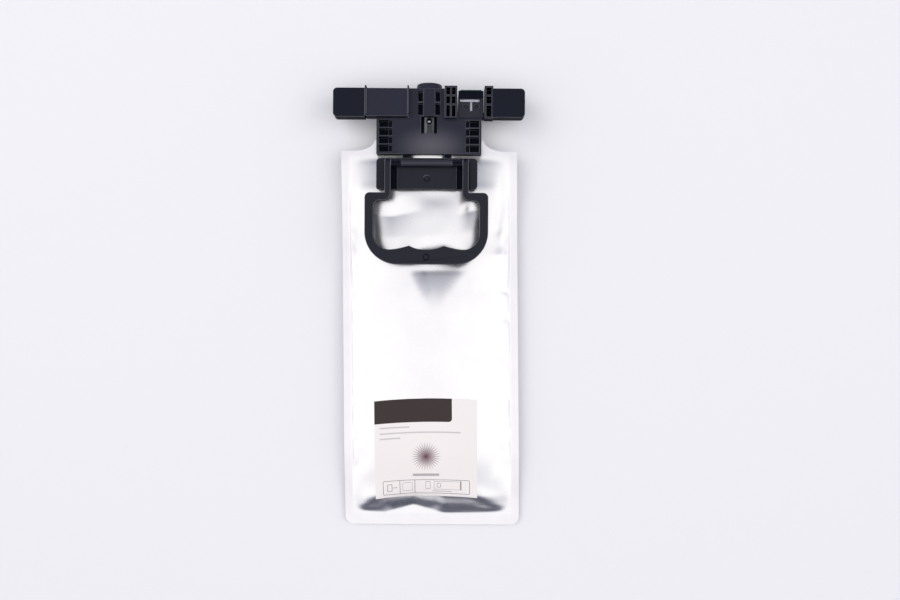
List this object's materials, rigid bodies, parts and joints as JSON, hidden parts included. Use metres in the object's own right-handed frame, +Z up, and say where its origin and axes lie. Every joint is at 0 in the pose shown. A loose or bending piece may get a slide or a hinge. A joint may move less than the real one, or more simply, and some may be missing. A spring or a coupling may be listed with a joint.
{
  "type": "inkjet ink cartridge",
  "caption": "Bag-type ink supply pack: foil pouch with a paper label, moulded head with sprung ink outlet and chip bay, and a hinged carrying handle.",
  "frame": {"origin": "centre of the bounding box in plan, on the surface that the pack lies on", "axes": "+Y towards the ink outlet, +Z up out of the pouch's labelled side, +X to the right"},
  "size_m": [0.1046, 0.2456, 0.0229],
  "materials": {
    "black_plastic": "satin moulded black, blue-tinted",
    "clear_plastic": "glossy translucent",
    "board": "green solder mask with gold contacts",
    "resin": "potting resin",
    "steel": "bright",
    "rubber": "soft matt",
    "foil": "bright laminated foil",
    "paper": "coated label paper"
  },
  "bodies": {
    "pack": {"header_body": "black_plastic", "header_cover": "black_plastic", "chip_holder": "black_plastic", "chip_board": "board", "chip_resin": "resin", "spout": "clear_plastic", "fill_ball": "steel", "seal_cap": "black_plastic", "port_seal": "rubber", "valve_spring": "steel", "handle_base": "black_plastic", "ink_bag": "foil", "label": "paper"},
    "handle": {"handle": "black_plastic"},
    "valve": {"valve_poppet": "clear_plastic"}
  },
  "joints": [
    {"name": "handle_hinge", "type": "hinge", "parent": "pack", "child": "handle", "pos_m": [-0.001, 0.0779, 0.0205], "axis": [-1, 0, 0], "range_deg": [0, 170]},
    {"name": "valve_slide", "type": "slide", "parent": "pack", "child": "valve", "axis": [0, -1, 0], "range_m": [0, 0.003], "stiffness_N_per_m": 250, "springref_m": -0.004, "deforming": ["valve_spring"]}
  ]
}
